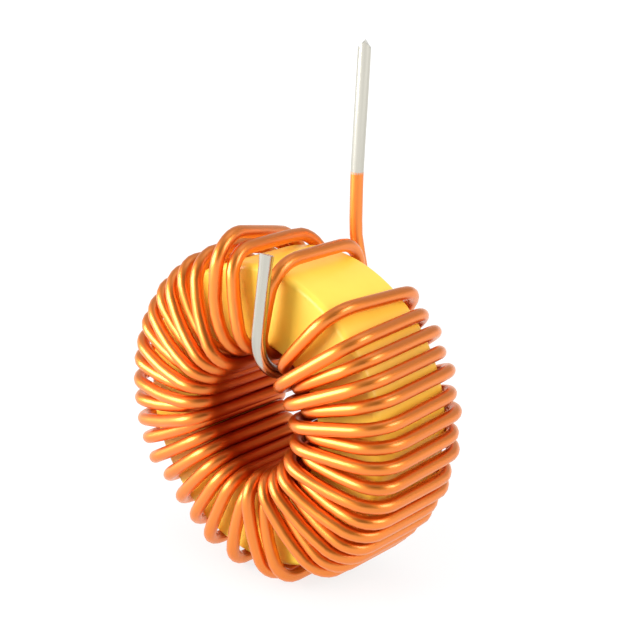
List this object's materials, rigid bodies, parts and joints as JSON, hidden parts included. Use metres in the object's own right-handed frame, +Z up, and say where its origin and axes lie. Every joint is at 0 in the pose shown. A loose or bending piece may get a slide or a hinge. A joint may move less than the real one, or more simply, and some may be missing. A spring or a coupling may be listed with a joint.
{
  "type": "toroidal inductor",
  "caption": "Ring-shaped power inductor: yellow coated powder core wound with thick enamelled copper wire, with two tinned leads.",
  "frame": {"origin": "on the ground, under the middle of the ring, which stands on its wound rim", "axes": "+Z up along the leads, which is the longest extent; +Y along the ring's axis, from the front face with the short lead to the back face with the long lead; +X to the right seen from the front"},
  "size_m": [0.0374, 0.0186, 0.0567],
  "materials": {
    "core_coat": "gloss",
    "enamelled_wire": "satin",
    "solder": "satin"
  },
  "bodies": {
    "root": {"core": "core_coat", "winding": "enamelled_wire", "tinning_rear": "solder", "tinning_front": "solder"}
  },
  "joints": []
}
